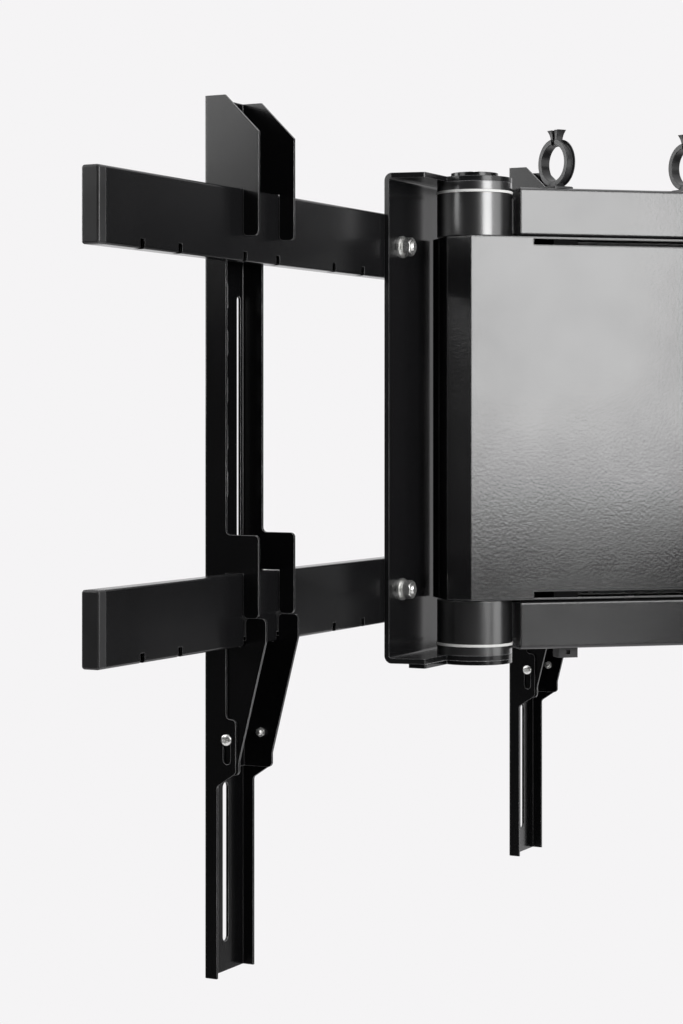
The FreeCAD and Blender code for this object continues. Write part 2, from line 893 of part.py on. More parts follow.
# Controller case on the wall-end upright
def control_box():
    face = upright_place + upright_sheet
    case = block(face, face + control_depth, -control_half_width, control_half_width,
                 -control_drop - 0.5 * control_height, -control_drop + 0.5 * control_height)
    rim = [edge for edge in case.Edges if edge.BoundBox.XMin > face + 0.5 * control_depth]
    return case.makeFillet(control_round, rim)


# Cable clip: a split ring on a square pad, with two flared finger tabs and a tongue under the split
def cable_clip():
    outer = clip_inner + clip_wall
    half = 0.5 * clip_width
    centre = clip_pad_height + outer
    pad = block(-0.5 * clip_pad, 0.5 * clip_pad, -0.5 * clip_pad, 0.5 * clip_pad, 0.0, clip_pad_height)
    hoop = rod_y(outer, -half, half, 0.0, centre)
    foot = block(-0.5 * clip_foot, 0.5 * clip_foot, -half, half, 0.5 * clip_pad_height, centre - clip_inner)
    bore = rod_y(clip_inner, -half, half, 0.0, centre)
    split = block(-0.5 * clip_gap, 0.5 * clip_gap, -half, half, centre, centre + 2.0 * outer)
    body = union([pad, hoop, foot]).cut([bore, split])
    root = centre + outer - 0.5 * clip_wall
    tabs = []
    for side in (-1, 1):
        middle = side * 0.5 * (clip_gap + clip_tab_top)
        tab = [(middle - 0.5 * clip_tab_root, root), (middle + 0.5 * clip_tab_root, root),
               (middle + 0.5 * clip_tab_top, root + clip_tab_height),
               (middle - 0.5 * clip_tab_top, root + clip_tab_height)]
        tabs.append(prism(tab, "y", -half, half))
    return union([body] + tabs + [clip_tongue(half, centre)])


# The tongue springs from one side of the split and passes under the other
def clip_tongue(half, centre):
    outer = clip_inner - clip_tongue_gap
    inner = outer - clip_tongue_sheet
    band = rod_y(outer, -half, half, 0.0, centre).cut(rod_y(inner, -half, half, 0.0, centre))
    reach = clip_inner * math.tan(math.radians(clip_tongue_half_angle))
    top = centre + clip_inner
    wedge = prism([(0.0, centre), (reach, top), (-reach, top)], "y", -half, half)
    root_left = -clip_tongue_root_place - 0.5 * clip_tongue_root
    root = block(root_left, root_left + clip_tongue_root, -half, half, top - clip_tongue_root_depth, top)
    return union([band.common(wedge), root])


def cable_clips():
    clips = []
    for step in range(clip_count):
        place = arm_length - clip_first - step * clip_pitch
        clips.append(moved(turned(cable_clip(), -clip_turn), place, 0.0, tube_bottom + tube_size))
    return clips


# Moulded saddle under the lower tube, with a slot for a strap
def cable_saddle():
    top = -tube_bottom - tube_size
    body = block(-0.5 * saddle_length, 0.5 * saddle_length, -0.5 * saddle_width, 0.5 * saddle_width,
                 top - saddle_height, top)
    slot_middle = top - 0.5 * saddle_height
    slot = block(-0.5 * saddle_slot, 0.5 * saddle_slot, -0.5 * saddle_width, 0.5 * saddle_width,
                 slot_middle - 0.5 * saddle_slot, slot_middle + 0.5 * saddle_slot)
    return moved(body.cut(slot), arm_length - saddle_place, 0.0)


def wall_plate():
    half_x = 0.5 * wall_plate_width
    half_z = 0.5 * wall_plate_height
    plate = prism(rectangle(-half_x, half_x, -half_z, half_z, wall_plate_round), "y", -wall_plate_sheet, 0.0)
    places = [(side * 0.5 * wall_hole_x, level * 0.5 * wall_hole_z) for side in (-1, 1) for level in (-1, 1)]
    holes = [rod_y(wall_hole_radius, -wall_plate_sheet, 0.0, x, z) for x, z in places]
    studs = [rod_y(bolt_radius + press_clearance, -wall_plate_sheet, 0.0, x, z)
             for x, z in bolt_places(rail_centre)]
    return plate.cut(holes + studs)


def build_head():
    plate_front = rail_near + bracket_sheet
    bracket = pivot_bracket(rail_stand_off)
    holes = [rod_y(bolt_radius + bolt_clearance, rail_near, plate_front, x, z)
             for x, z in bolt_places(rail_centre)]
    export("head_bracket", [on_head(bracket.cut(holes))])
    export("head_bosses", [on_head(boss) for boss in pivot_bosses()])
    export("head_shaft", [on_head(pivot_shaft())])
    export("head_keeper", [on_head(keeper())])
    export("head_stop_plate", [on_head(stop_plate())])
    export("head_pivot_screws", [on_head(screw) for screw in pivot_screws()])
    export("head_gear", [on_head(turned(drive_gear(), 180.0 - arm_angle))])
    export("upper_rail", [on_head(moved(rail(), 0.0, 0.0, rail_centre))])
    export("lower_rail", [on_head(moved(rail(), 0.0, 0.0, -rail_centre))])
    cap = end_cap()
    caps = [cap, cap.mirror(vector(0, 0), vector(1, 0, 0))]
    export("rail_end_caps", [on_head(moved(one, 0.0, 0.0, level)) for one in caps
                             for level in (rail_centre, -rail_centre)])
    bolts = []
    nuts = []
    washers = []
    head_seat = rail_far - bolt_washer_height
    nut_seat = plate_front + bolt_washer_height + lock_washer_height
    for x, z in bolt_places(rail_centre):
        bolts.append(bolt(head_seat, plate_front + bolt_end, x, z))
        nuts.append(nut(nut_seat, x, z, nut_flats, nut_height, bolt_radius))
        washers.append(flat_washer(head_seat, x, z))
        washers.append(flat_washer(plate_front, x, z))
        washers.append(lock_washer(plate_front + bolt_washer_height, x, z))
    export("rail_bolts", [on_head(one) for one in bolts])
    export("rail_nuts", [on_head(one) for one in nuts])
    export("rail_washers", [on_head(one) for one in washers])
    for name, side in (("left", 1), ("right", -1)):
        place = side * leg_place
        export(name + "_leg", [on_head(moved(leg(), place, 0.0))])
        export(name + "_lock_bracket", [on_head(moved(lock_bracket(), place, 0.0))])
        export(name + "_lock_screws", [on_head(moved(lock_screw(turn), place, 0.0)) for turn in (-1, 1)])


def build_arm():
    upper = tube()
    export("upper_arm_tube", [on_arm(upper)])
    export("lower_arm_tube", [on_arm(flipped(upper))])
    wall_knuckle = knuckle()
    head_knuckle = arm_mirrored(wall_knuckle)
    export("upper_wall_knuckle", [on_arm(wall_knuckle)])
    export("lower_wall_knuckle", [on_arm(flipped(wall_knuckle))])
    export("upper_head_knuckle", [on_arm(head_knuckle)])
    export("lower_head_knuckle", [on_arm(flipped(head_knuckle))])
    for name, piece in (("knuckle_bushes", bush()), ("thrust_washers", thrust_washer())):
        four = [piece, flipped(piece), at_arm_head(piece), at_arm_head(flipped(piece))]
        export(name, [on_arm(one) for one in four])
    front, rear = covers()
    export("front_cover", [on_arm(front)])
    export("rear_cover", [on_arm(rear)])
    export("cover_seals", [on_arm(strip) for strip in cover_seals()])
    export("wall_upright", [on_arm(upright())])
    export("head_upright", [on_arm(arm_mirrored(upright()))])
    screws, studs, nuts = cover_fixings()
    export("rear_cover_screws", [on_arm(one) for one in screws])
    export("front_cover_studs", [on_arm(one) for one in studs])
    export("front_cover_nuts", [on_arm(one) for one in nuts])
    export("wall_motor", [on_arm(gearmotor())])
    export("head_motor", [on_arm(arm_mirrored(gearmotor()))])
    export("wall_motor_bracket", [on_arm(motor_bracket())])
    export("head_motor_bracket", [on_arm(arm_mirrored(motor_bracket()))])
    fixings = motor_screws()
    export("motor_screws", [on_arm(one) for one in fixings + [arm_mirrored(screw) for screw in fixings]])
    export("control_box", [on_arm(control_box())])
    export("cable_clips", [on_arm(clip) for clip in cable_clips()])
    export("cable_saddle", [on_arm(cable_saddle())])
    export("wall_pinion", [on_arm(pinion())])
    export("head_pinion", [on_arm(arm_mirrored(pinion()))])


def build_wall():
    export("wall_plate", [wall_plate()])
    stand_off = wall_stand_off - wall_plate_sheet
    plate_back = -stand_off
    plate_front = plate_back + bracket_sheet
    holes = [rod_y(bolt_radius + bolt_clearance, plate_back, plate_front, x, z)
             for x, z in bolt_places(rail_centre)]
    export("wall_bracket", [on_wall(pivot_bracket(stand_off).cut(holes))])
    export("wall_bosses", [on_wall(boss) for boss in pivot_bosses()])
    export("wall_shaft", [on_wall(pivot_shaft())])
    export("wall_keeper", [on_wall(keeper())])
    export("wall_stop_plate", [on_wall(stop_plate())])
    export("wall_pivot_screws", [on_wall(screw) for screw in pivot_screws()])
    export("wall_gear", [on_arm(drive_gear())])
    studs = []
    nuts = []
    washers = []
    nut_seat = plate_front + bolt_washer_height + lock_washer_height
    for x, z in bolt_places(rail_centre):
        studs.append(rod_y(bolt_radius, plate_back - wall_stud_depth, plate_front + bolt_end, x, z))
        washers.append(flat_washer(plate_front, x, z))
        washers.append(lock_washer(plate_front + bolt_washer_height, x, z))
        nuts.append(nut(nut_seat, x, z, nut_flats, nut_height, bolt_radius))
    export("wall_studs", [on_wall(one) for one in studs])
    export("wall_washers", [on_wall(one) for one in washers])
    export("wall_nuts", [on_wall(one) for one in nuts])


os.makedirs("parts", exist_ok=True)
build_wall()
build_arm()
build_head()
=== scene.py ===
import math
import bmesh
import bpy
import numpy as np
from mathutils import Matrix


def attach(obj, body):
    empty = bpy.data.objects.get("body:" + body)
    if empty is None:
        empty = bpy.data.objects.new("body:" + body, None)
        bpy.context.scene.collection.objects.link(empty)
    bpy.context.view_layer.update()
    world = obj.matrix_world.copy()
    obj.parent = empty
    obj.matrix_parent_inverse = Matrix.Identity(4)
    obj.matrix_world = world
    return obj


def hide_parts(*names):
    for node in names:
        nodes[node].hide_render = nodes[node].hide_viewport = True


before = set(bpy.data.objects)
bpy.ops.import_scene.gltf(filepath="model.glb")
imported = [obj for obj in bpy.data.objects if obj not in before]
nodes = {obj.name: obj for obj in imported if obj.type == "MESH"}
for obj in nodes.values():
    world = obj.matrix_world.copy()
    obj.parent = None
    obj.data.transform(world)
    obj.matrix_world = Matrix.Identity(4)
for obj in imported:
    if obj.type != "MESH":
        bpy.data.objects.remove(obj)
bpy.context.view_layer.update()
scene = bpy.context.scene
scene.view_settings.view_transform = "Standard"
print("frame loaded:", len(nodes), "nodes")

# camera: level, at the wall side of the head, with the horizon above the middle of the picture
viewSettings = {
    "place": (3.036, 0.5958, -0.0055),
    "heading": (-0.888, -0.460, 0.0),
    "focalPixels": 2400.0,
    "imageHeight": 1024.0,
    "horizonRow": 422.9,
    "sensorWidth": 36.0,
    "clip": (0.05, 100.0),
}


def makeCamera(s):
    camera = bpy.data.cameras.new("photoCamera")
    camera.sensor_width = s["sensorWidth"]
    camera.lens = s["focalPixels"] * camera.sensor_width / s["imageHeight"]
    camera.shift_y = s["horizonRow"] / s["imageHeight"] - 0.5
    camera.clip_start, camera.clip_end = s["clip"]
    holder = bpy.data.objects.new("photoCamera", camera)
    turn = math.atan2(-s["heading"][0], s["heading"][1])  # a level camera turned about the upright
    holder.rotation_euler = (math.pi / 2, 0.0, turn)
    holder.location = s["place"]
    scene.collection.objects.link(holder)
    scene.camera = holder


makeCamera(viewSettings)
print("camera set")

nodeSpacing = 180  # between neighbours in the node editor


# node helpers
class Tree:
    def __init__(self, tree):
        self.tree = tree
        self.column = 0

    def add(self, kind, **values):
        node = self.tree.nodes.new(kind)
        node.location = (self.column, 0)
        self.column += nodeSpacing
        for name, value in values.items():
            setattr(node, name, value)
        return node

    def join(self, source, target):
        self.tree.links.new(source, target)

    def feed(self, value, target):
        # a number is set on the socket, and an output is joined to it
        if isinstance(value, (int, float)):
            target.default_value = value
        else:
            self.join(value, target)

    def math(self, operation, first, second, clamp=False):
        node = self.add("ShaderNodeMath", operation=operation, use_clamp=clamp)
        self.feed(first, node.inputs[0])
        self.feed(second, node.inputs[1])
        return node.outputs[0]

    def spread(self, value, low, high, newLow, newHigh):
        node = self.add("ShaderNodeMapRange")
        self.join(value, node.inputs["Value"])
        for name, number in zip(("From Min", "From Max", "To Min", "To Max"), (low, high, newLow, newHigh)):
            node.inputs[name].default_value = number
        return node.outputs["Result"]


def newGroup(name, inputs, outputs):
    tree = bpy.data.node_groups.new(name, "ShaderNodeTree")
    for label, value in inputs.items():
        tree.interface.new_socket(label, in_out="INPUT", socket_type="NodeSocketFloat").default_value = value
    for label, kind in outputs.items():
        tree.interface.new_socket(label, in_out="OUTPUT", socket_type="NodeSocket" + kind)
    t = Tree(tree)
    return t, t.add("NodeGroupInput").outputs, t.add("NodeGroupOutput").inputs


def noise(t, coordinates, scale, detail, rough):
    node = t.add("ShaderNodeTexNoise")
    t.join(coordinates, node.inputs["Vector"])
    t.feed(scale, node.inputs["Scale"])
    node.inputs["Detail"].default_value = detail
    node.inputs["Roughness"].default_value = rough
    return node.outputs["Fac"]


# orange peel of a baked powder coat: soft dimples, with a finer grain over them and a slow mottle
peelSettings = {
    "inputs": {"Dimples per metre": 320.0, "Fine share": 0.35},
    "dimples": {"detail": 1.0, "rough": 0.4},
    "finer": 3.1,
    "fine": {"detail": 2.0, "rough": 0.6},
    "mottle": {"scale": 9.0, "detail": 3.0, "rough": 0.55},
}


def makePeelGroup(s):
    t, given, out = newGroup("coatPeel", s["inputs"], {"Height": "Float", "Mottle": "Float"})
    place = t.add("ShaderNodeTexCoord").outputs["Object"]
    dimples = noise(t, place, given["Dimples per metre"], **s["dimples"])
    fine = noise(t, place, t.math("MULTIPLY", given["Dimples per metre"], s["finer"]), **s["fine"])
    t.join(t.math("ADD", dimples, t.math("MULTIPLY", fine, given["Fine share"])), out["Height"])
    t.join(noise(t, place, **s["mottle"]), out["Mottle"])
    return t.tree


# rounded edges: the bevelled normal, and how far it leans away from the flat one
# the lean is a cosine, where an edge starts and where it is full
edgeSettings = {"inputs": {"Radius": 0.0006}, "samples": 6, "lean": (0.995, 0.80)}


def makeEdgeGroup(s):
    t, given, out = newGroup("foldedEdge", s["inputs"], {"Normal": "Vector", "Edge": "Float"})
    bevel = t.add("ShaderNodeBevel", samples=s["samples"])
    t.join(given["Radius"], bevel.inputs["Radius"])
    lean = t.add("ShaderNodeVectorMath", operation="DOT_PRODUCT")
    t.join(bevel.outputs["Normal"], lean.inputs[0])
    t.join(t.add("ShaderNodeNewGeometry").outputs["Normal"], lean.inputs[1])
    t.join(t.spread(lean.outputs["Value"], *s["lean"], 0.0, 1.0), out["Edge"])
    t.join(bevel.outputs["Normal"], out["Normal"])
    return t.tree


# settled dust: upward faces, broken up by a slow noise
dustSettings = {
    "inputs": {"Amount": 0.3},
    "upward": (0.55, 1.0),
    "patch": {"scale": 45.0, "detail": 4.0, "rough": 0.65},
    "patchRange": (0.35, 0.75),
    "share": (0.2, 1.0),
}


def makeDustGroup(s):
    t, given, out = newGroup("settledDust", s["inputs"], {"Dust": "Float"})
    parts = t.add("ShaderNodeSeparateXYZ")
    t.join(t.add("ShaderNodeNewGeometry").outputs["Normal"], parts.inputs[0])
    upward = t.spread(parts.outputs["Z"], *s["upward"], 0.0, 1.0)
    place = t.add("ShaderNodeTexCoord").outputs["Object"]
    broken = t.spread(noise(t, place, **s["patch"]), *s["patchRange"], *s["share"])
    t.join(t.math("MULTIPLY", t.math("MULTIPLY", upward, broken), given["Amount"]), out["Dust"])
    return t.tree


# drawn or rolled metal: long thin streaks along one axis, with small specks
streakSettings = {
    "inputs": {"Across": 900.0, "Along": 40.0},
    "streak": {"scale": 1.0, "detail": 3.0, "rough": 0.6},
    "speck": {"scale": 1400.0, "detail": 2.0, "rough": 0.6},
}


def makeStreakGroup(s):
    t, given, out = newGroup("metalStreaks", s["inputs"], {"Streak": "Float", "Speck": "Float"})
    place = t.add("ShaderNodeTexCoord").outputs["Object"]
    size = t.add("ShaderNodeCombineXYZ")
    for axis, label in (("X", "Across"), ("Y", "Across"), ("Z", "Along")):
        t.join(given[label], size.inputs[axis])
    stretched = t.add("ShaderNodeVectorMath", operation="MULTIPLY")
    t.join(place, stretched.inputs[0])
    t.join(size.outputs[0], stretched.inputs[1])
    t.join(noise(t, stretched.outputs[0], **s["streak"]), out["Streak"])
    t.join(noise(t, place, **s["speck"]), out["Speck"])
    return t.tree


groups = {
    "peel": makePeelGroup(peelSettings),
    "edge": makeEdgeGroup(edgeSettings),
    "dust": makeDustGroup(dustSettings),
    "streak": makeStreakGroup(streakSettings),
}


def useGroup(t, name, **values):
    node = t.add("ShaderNodeGroup")
    node.node_tree = groups[name]
    for label, value in values.items():
        node.inputs[label.replace("_", " ")].default_value = value
    return node.outputs


def newMaterial(name, plain):
    material = bpy.data.materials.new(name)
    material.use_nodes = True
    t = Tree(material.node_tree)
    shader = t.tree.nodes["Principled BSDF"]
    for label, value in plain.items():
        shader.inputs[label].default_value = value
    return material, t, shader.inputs


def mixColour(t, amount, first, second, target):
    node = t.add("ShaderNodeMix", data_type="RGBA")
    t.join(amount, node.inputs["Factor"])
    # this node's colours are its inputs 6 and 7, and its colour output is 2
    node.inputs[6].default_value = (*first, 1.0)
    node.inputs[7].default_value = (*second, 1.0)
    t.join(node.outputs[2], target)


def bumped(t, height, strength, distance, normal, target):
    bump = t.add("ShaderNodeBump")
    bump.inputs["Strength"].default_value = strength
    bump.inputs["Distance"].default_value = distance
    t.join(height, bump.inputs["Height"])
    t.join(normal, bump.inputs["Normal"])
    t.join(bump.outputs["Normal"], target)


noiseRange = (0.3, 0.7)  # most of a noise lies between these

# powder coats: a coarse peel on the arm, a smoother one on sheet and rails, a clear coat on the barrels;
# each coat's edge colour is a painted highlight, a paler base colour along rounded edges in place of the
# lamps' glints, and it is also the colour of the settled dust
coatSettings = {
    "armCoat": {
        "colour": (0.006, 0.006, 0.0065), "edge": (0.20, 0.20, 0.205), "rough": (0.20, 0.27),
        "dimples": 300.0, "depth": 0.00024, "strength": 0.48, "radius": 0.0013, "fold": 0.0028,
        "level": 1.0, "coat": 0.15, "coatRough": 0.12, "index": 1.5,
    },
    "sheetCoat": {
        "colour": (0.0032, 0.0032, 0.0036), "edge": (0.55, 0.55, 0.555), "rough": (0.17, 0.23),
        "dimples": 420.0, "depth": 0.00007, "strength": 0.28, "radius": 0.0009, "fold": 0.0010,
        "level": 0.45, "coat": 0.15, "coatRough": 0.12, "index": 1.5,
    },
    "railCoat": {
        "colour": (0.0080, 0.0080, 0.0086), "edge": (0.20, 0.20, 0.205), "rough": (0.18, 0.24),
        "dimples": 420.0, "depth": 0.00006, "strength": 0.25, "radius": 0.0009, "fold": 0.0010,
        "level": 0.48, "coat": 0.12, "coatRough": 0.12, "index": 1.5,
    },
    "knuckleCoat": {
        "colour": (0.006, 0.006, 0.0065), "edge": (0.12, 0.12, 0.125), "rough": (0.27, 0.34),
        "dimples": 380.0, "depth": 0.00010, "strength": 0.35, "radius": 0.0008, "fold": 0.0010,
        "level": 1.0, "coat": 0.8, "coatRough": 0.14, "index": 1.68,
    },
}
# the settled dust, and the mottle range that breaks up the painted edge highlight
dustAndEdgeHighlightSettings = {"dust": 0.10, "dustRough": 0.6, "mottle": (0.35, 0.65), "share": (0.3, 1.0)}


def makeCoat(name, s, dustAndHighlight):
    material, t, shader = newMaterial(name, {"Specular IOR Level": s["level"], "Coat Weight": s["coat"],
                                             "Coat Roughness": s["coatRough"], "IOR": s["index"]})
    peel = useGroup(t, "peel", Dimples_per_metre=s["dimples"])
    edge = useGroup(t, "edge", Radius=s["radius"])
    fold = useGroup(t, "edge", Radius=s["fold"])
    dust = useGroup(t, "dust", Amount=dustAndHighlight["dust"])
    # painted highlight: the edge mask, broken up by the mottle, lightens the base colour towards the edge
    # colour; real dust is added to it
    paintedEdgeHighlight = t.math("MULTIPLY", edge["Edge"], t.spread(peel["Mottle"], *dustAndHighlight["mottle"], *dustAndHighlight["share"]))
    dustAndEdgeHighlight = t.math("ADD", paintedEdgeHighlight, dust["Dust"], clamp=True)
    mixColour(t, dustAndEdgeHighlight, s["colour"], s["edge"], shader["Base Color"])
    rough = t.spread(peel["Mottle"], *noiseRange, *s["rough"])
    dusty = t.math("MULTIPLY", dust["Dust"], dustAndHighlight["dustRough"])
    t.join(t.math("ADD", rough, dusty), shader["Roughness"])
    bumped(t, peel["Height"], s["strength"], s["depth"], fold["Normal"], shader["Normal"])
    return material


streakDepth = 0.00004
metalSettings = {
    "zincPlate": {"low": (0.80, 0.80, 0.78), "high": (0.96, 0.96, 0.94), "rough": (0.20, 0.32),
                  "across": 500.0, "along": 300.0, "radius": 0.0004, "strength": 0.12, "metal": 0.88},
    "groundSteel": {"low": (0.45, 0.45, 0.46), "high": (0.62, 0.62, 0.63), "rough": (0.18, 0.34),
                    "across": 700.0, "along": 2600.0, "radius": 0.0005, "strength": 0.15, "metal": 1.0},
    "sinteredBronze": {"low": (0.36, 0.22, 0.09), "high": (0.58, 0.40, 0.19), "rough": (0.32, 0.48),
                       "across": 900.0, "along": 900.0, "radius": 0.0005, "strength": 0.3, "metal": 1.0},
}


def makeMetal(name, s):
    material, t, shader = newMaterial(name, {"Metallic": s["metal"]})
    streak = useGroup(t, "streak", Across=s["across"], Along=s["along"])
    edge = useGroup(t, "edge", Radius=s["radius"])
    shade = t.spread(streak["Streak"], *noiseRange, 0.0, 1.0)
    mixColour(t, shade, s["low"], s["high"], shader["Base Color"])
    t.join(t.spread(streak["Speck"], *noiseRange, *s["rough"]), shader["Roughness"])
    bumped(t, streak["Streak"], s["strength"], streakDepth, edge["Normal"], shader["Normal"])
    return material


plasticSettings = {
    "whiteNylon": {"colour": (0.80, 0.80, 0.78), "other": (0.86, 0.86, 0.84), "rough": (0.38, 0.50),
                   "grains": 1800.0, "depth": 0.00003, "strength": 0.2, "radius": 0.0005, "level": 0.5},
    "mouldedBlack": {"colour": (0.008, 0.008, 0.008), "other": (0.070, 0.070, 0.072), "rough": (0.26, 0.38),
                     "grains": 1500.0, "depth": 0.00004, "strength": 0.35, "radius": 0.0009, "level": 0.5},
    # near-black and almost without sheen: black seals, and painted shade on the uprights seen through the
    # slot in the front cover
    "sealBlackAndPaintedShade": {"colour": (0.004, 0.004, 0.004), "other": (0.007, 0.007, 0.007), "rough": (0.80, 0.92),
                   "grains": 1200.0, "depth": 0.00004, "strength": 0.3, "radius": 0.0005, "level": 0.08},
    "motorLacquer": {"colour": (0.055, 0.055, 0.060), "other": (0.085, 0.085, 0.09), "rough": (0.34, 0.46),
                     "grains": 900.0, "depth": 0.00004, "strength": 0.3, "radius": 0.0007, "level": 0.5},
}
# the edge share is a painted highlight: rounded plastic edges lightened towards the other colour
grainMottleHighlightShares = {"fine": 0.6, "mottle": 0.6, "edge": 0.4}  # shares of the fine grain, the mottle and the edges


def makePlastic(name, s, plasticShares):
    material, t, shader = newMaterial(name, {"Specular IOR Level": s["level"]})
    peel = useGroup(t, "peel", Dimples_per_metre=s["grains"], Fine_share=plasticShares["fine"])
    edge = useGroup(t, "edge", Radius=s["radius"])
    mottled = t.spread(peel["Mottle"], *noiseRange, 0.0, plasticShares["mottle"])
    # real mottle plus a painted highlight along the edges
    mottleAndEdgeHighlight = t.math("ADD", mottled, t.math("MULTIPLY", edge["Edge"], plasticShares["edge"]))
    mixColour(t, mottleAndEdgeHighlight, s["colour"], s["other"], shader["Base Color"])
    t.join(t.spread(peel["Mottle"], *noiseRange, *s["rough"]), shader["Roughness"])
    bumped(t, peel["Height"], s["strength"], s["depth"], edge["Normal"], shader["Normal"])
    return material


finishes = {name: makeCoat(name, s, dustAndEdgeHighlightSettings) for name, s in coatSettings.items()}
finishes.update({name: makeMetal(name, s) for name, s in metalSettings.items()})
finishes.update({name: makePlastic(name, s, grainMottleHighlightShares) for name, s in plasticSettings.items()})
print("finishes made:", len(finishes))

# which finish each carried-over node takes; the rest take the sheet coat
nodeFinishes = {
    "armCoat": ["front_cover", "rear_cover", "upper_arm_tube", "lower_arm_tube"],
    "knuckleCoat": ["upper_wall_knuckle", "lower_wall_knuckle", "upper_head_knuckle", "lower_head_knuckle",
                    "head_bosses", "wall_bosses"],
    "railCoat": ["upper_rail", "lower_rail", "head_bracket", "wall_bracket"],
    "zincPlate": ["rail_bolts", "rail_nuts", "rail_washers", "wall_studs", "wall_nuts", "wall_washers",
                  "left_lock_screws", "right_lock_screws", "head_pivot_screws", "wall_pivot_screws",
                  "rear_cover_screws", "motor_screws", "front_cover_studs", "front_cover_nuts",
                  "wall_motor_bracket", "head_motor_bracket"],
    "groundSteel": ["head_shaft", "wall_shaft", "head_gear", "wall_gear", "head_pinion", "wall_pinion"],
    "sinteredBronze": ["knuckle_bushes"],
    "whiteNylon": ["thrust_washers"],
    "mouldedBlack": ["rail_end_caps", "cable_clips", "cable_saddle", "control_box"],
    # the uprights take this finish as painted shade, so the slot in the front cover stays dark
    "sealBlackAndPaintedShade": ["cover_seals", "wall_upright", "head_upright"],
    "motorLacquer": ["wall_motor", "head_motor"],
}


def dress(piece, finish):
    piece.data.materials.clear()
    piece.data.materials.append(finishes[finish])


for name, node in nodes.items():
    finish = next((f for f, members in nodeFinishes.items() if name in members), "sheetCoat")
    dress(node, finish)
print("nodes dressed")


# new pieces: surfaces on grids of two parameters, joined into one mesh for each piece
def gridFaces(rows, columns, closeRows=False, closeColumns=True):
    # quads between neighbouring rows and columns, which close into rings where asked
    index = np.arange(rows * columns).reshape(rows, columns)
    if closeColumns:
        index = np.hstack([index, index[:, :1]])
    if closeRows:
        index = np.vstack([index, index[:1]])
    corners = [index[:-1, :-1], index[:-1, 1:], index[1:, 1:], index[1:, :-1]]
    return np.stack(corners, axis=-1).reshape(-1, 4)


def surface(x, y, z, closeRows=False):
    rows, columns = x.shape
    return np.stack([x, y, z], axis=-1).reshape(-1, 3), gridFaces(rows, columns, closeRows)


def around(count):
    return np.linspace(0.0, 2.0 * np.pi, count, endpoint=False)


def hexReach(angle, flats):
    # distance from the centre to a hexagon's side at an angle: half the flats over the cosine within a sixth
    return 0.5 * flats / np.cos((angle + np.pi / 6) % (np.pi / 3) - np.pi / 6)


nutForm = {"sides": 72, "chamferRows": 6, "coneShare": 0.48, "coneAngle": 30.0, "lipShare": 0.06}


def hexNut(s, bore):
    # the hexagon cut by a cone at both ends: the smaller of the two at each height, then down the bore
    rise = np.linspace(0.0, s["chamfer"], nutForm["chamferRows"])
    heights = np.concatenate([[0.0], rise, s["height"] - rise[::-1], [s["height"]]])
    slope = math.tan(math.radians(nutForm["coneAngle"]))
    cone = nutForm["coneShare"] * s["flats"] + np.concatenate([[0.0], rise, rise[::-1], [0.0]]) / slope
    angle = around(nutForm["sides"])
    reach = np.minimum(hexReach(angle, s["flats"])[None, :], cone[:, None])
    lip = nutForm["lipShare"] * s["flats"]
    reach[0] = reach[-1] = bore + (lip if bore > 0 else 0.0)
    if bore > 0:
        heights = np.concatenate([heights, [s["height"] - lip, lip]])
        reach = np.vstack([reach, np.full((2, len(angle)), bore)])
    x, y = reach * np.cos(angle), reach * np.sin(angle)
    return surface(x, y, np.repeat(heights[:, None], len(angle), axis=1), closeRows=bore > 0)


threadForm = {"sides": 28, "rowsPerTurn": 8, "depth": 0.55, "tip": 0.75}  # depth and tip are in pitches


def threadedRod(radius, pitch, start, end):
    # radius falls and rises as a triangle wave of height over pitch minus turn; both tips are coned
    angle = around(threadForm["sides"])
    height = np.linspace(start, end, int(threadForm["rowsPerTurn"] * (end - start) / pitch))[:, None]
    wave = np.abs(((height / pitch - angle / (2 * np.pi)) % 1.0) * 2.0 - 1.0)
    crest = radius - threadForm["depth"] * pitch * wave
    tip = radius - threadForm["tip"] * pitch + np.minimum(height - start, end - height)
    pole = np.zeros((1, len(angle)))
    reach = np.vstack([pole, np.minimum(crest, tip), pole])
    height = np.repeat(np.vstack([[[start]], height, [[end]]]), len(angle), axis=1)
    return surface(reach * np.cos(angle), reach * np.sin(angle), height)


# rows over the dome and its rim, then the recess, in shares of the head's radius
screwForm = {"sides": 96, "domeRows": 46, "domeShare": 0.9, "rimRows": 8, "rimStart": 1.12,
             "crossHalf": 0.16, "crossSoft": 0.06, "crossReach": 0.62, "crossFade": 0.20, "socketSoft": 0.05}


